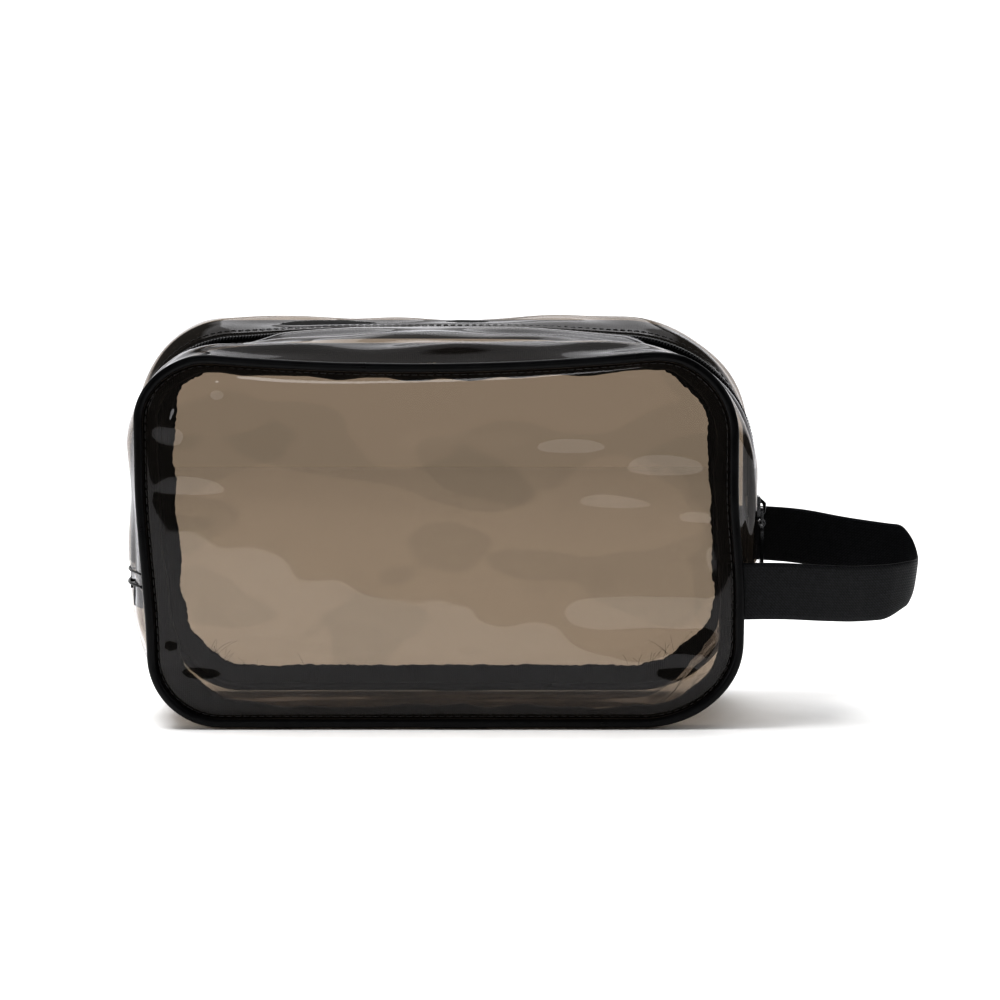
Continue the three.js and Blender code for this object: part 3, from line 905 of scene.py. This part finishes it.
def add_weave_map(strap, along, columns):
    """A UV map in centimetres, along and across the webbing."""
    layer = strap.data.uv_layers.new(name="Weave")
    heights = np.concatenate([columns, columns[::-1]]) * WEBBING_HALF
    for loop in strap.data.loops:
        row, column = divmod(loop.vertex_index, len(heights))
        layer.data[loop.index].uv = (along[row] * 100, heights[column] * 100)


# ---- stage ----

def make_floor():
    """Pale paper. The light lower part of the front film is a reflection of its stretch before the bag."""
    nodes = new_nodes("floor_paper")
    grain = nodes.noise(nodes.place(), 60.0, 3.0)
    colour = nodes.ramp(grain, (0.86, 0.86, 0.86), (0.88, 0.88, 0.88))
    paper = nodes.principled(Base_Color=colour, Roughness=0.9)
    near, far, side = -0.56, 1.0, 1.7
    grid = np.array([[(x, y, 0.0) for x in np.linspace(-side, side, 3)] for y in (near, 0, far)])
    sheet_object("floor", grid, paper)


def area_light(name, place, target, size, power):
    """A square soft light that shines from place to target. The film doesn't mirror it."""
    data = bpy.data.lights.new(name, "AREA")
    data.shape = "SQUARE"
    data.size = size
    data.energy = power
    light = bpy.data.objects.new(name, data)
    light.location = place
    light.rotation_euler = (Vector(target) - Vector(place)).to_track_quat("-Z", "Y").to_euler()
    light.visible_glossy = False
    bpy.context.scene.collection.objects.link(light)


def make_lights():
    area_light("overhead", (-0.1, 0.55, 1.5), (0, 0.5, 0), 2.4, 24)
    area_light("upper_left", (-0.5, -0.1, 1.4), (0, 0, 0.05), 0.5, 12)


# What glossy surfaces see round the bag: direction, inner and outer half angle in degrees, brightness.
SOFTBOXES = [
    ((0.0, 0.5, 1.0), 22, 26, 0.7),
    ((0.05, 1.0, 1.15), 13, 15, 1.7),
    ((0.05, 1.0, 0.5), 8, 16, 0.65),
    ((-0.1, -1.0, 0.42), 5.5, 6.5, 4.0),
    ((-1.0, -0.35, 0.35), 13, 15, 1.6),
    ((1.0, -0.2, 0.5), 11, 13, 1.3),
    ((-0.3, 1.0, 0.12), 22, 30, 0.9),
    ((0.5, 1.0, 0.12), 22, 30, 0.9),
]
DARK_STUDIO = 0.07


def softbox_glow(nodes, view, direction, inner, outer, brightness):
    """Bright within the inner angle of a direction, and dark outside the outer one."""
    angle = nodes.add("VectorMath")
    angle.operation = "DOT_PRODUCT"
    nodes.put(angle.inputs[0], view)
    nodes.put(angle.inputs[1], Vector(direction).normalized())
    return nodes.add(
        "MapRange",
        Value=angle.outputs["Value"],
        From_Min=math.cos(math.radians(outer)),
        From_Max=math.cos(math.radians(inner)),
        To_Min=DARK_STUDIO,
        To_Max=brightness,
    ).outputs["Result"]


def make_world():
    """White behind the bag. Round it the studio is dark, with a few soft light boxes."""
    world = bpy.data.worlds.new("studio")
    bpy.context.scene.world = world
    nodes = Nodes(world)
    view = nodes.add("TexCoord").outputs["Generated"]
    strength = nodes.add("LightPath").outputs["Is Camera Ray"]
    for softbox in SOFTBOXES:
        strength = nodes.math("MAXIMUM", strength, softbox_glow(nodes, view, *softbox))
    background = nodes.add("Background", Color=(1, 1, 1, 1), Strength=strength)
    nodes.add("OutputWorld", Surface=background.outputs["Background"])


def make_camera():
    """At the picture's angle: a long lens, a little above the bag and slightly to its right."""
    data = bpy.data.cameras.new("camera")
    data.lens = 107.1
    data.sensor_width = 36
    camera = bpy.data.objects.new("camera", data)
    camera.location = (26.4 * MM, -1298.6 * MM, 248.7 * MM)
    camera.rotation_euler = (math.radians(90 - 6.81), 0, 0)
    bpy.context.scene.collection.objects.link(camera)
    bpy.context.scene.camera = camera


# ---- build ----

make_camera()
make_panel("front_panel_film", -1, ["front_panel_lower", "front_panel_upper"], fold=True)
make_panel("back_panel_film", 1, ["back_panel"], fold=False)
make_base_gusset()
make_zip_strip("front_zip_strip_film", -1,
               ["front_zip_strip", "front_zip_strip_right_foot", "front_zip_strip_left_foot"], fold=True)
make_zip_strip("back_zip_strip_film", 1, ["back_zip_strip"], fold=False)
make_piping("front_piping_cord", -1, ["front_piping_lower", "front_piping_upper"], fold=True)
make_piping("back_piping_cord", 1, ["back_piping"], fold=False)
make_back_binding()
make_loose_threads()
make_front_binding()
make_end_bindings()
make_cross_seams()
make_zip_tape("front_zip_tape_weave", -1, ["front_zip_tape"], fold=True)
make_zip_tape("back_zip_tape_weave", 1, ["back_zip_tape"], fold=False)
make_zip_coil("front_zip_coil_wire", -1, ["front_zip_coil"], fold=True)
make_zip_coil("back_zip_coil_wire", 1, ["back_zip_coil"], fold=False)
make_strip_stitches("front_strip_stitches", -1, fold=True)
make_strip_stitches("back_strip_stitches", 1, fold=False)
make_seam_stitches()
make_metal("slider_body", "slider_plated", "slider", 0.35 * MM)
make_metal("pull_link", "pull_link_plated", "link", 0.2 * MM)
make_metal("pull_tab", "pull_tab_plated", "tab", 0.3 * MM)
make_strap()
make_floor()
make_lights()
make_world()
bpy.context.scene.view_settings.view_transform = "Standard"
bpy.context.scene.view_settings.look = "High Contrast"
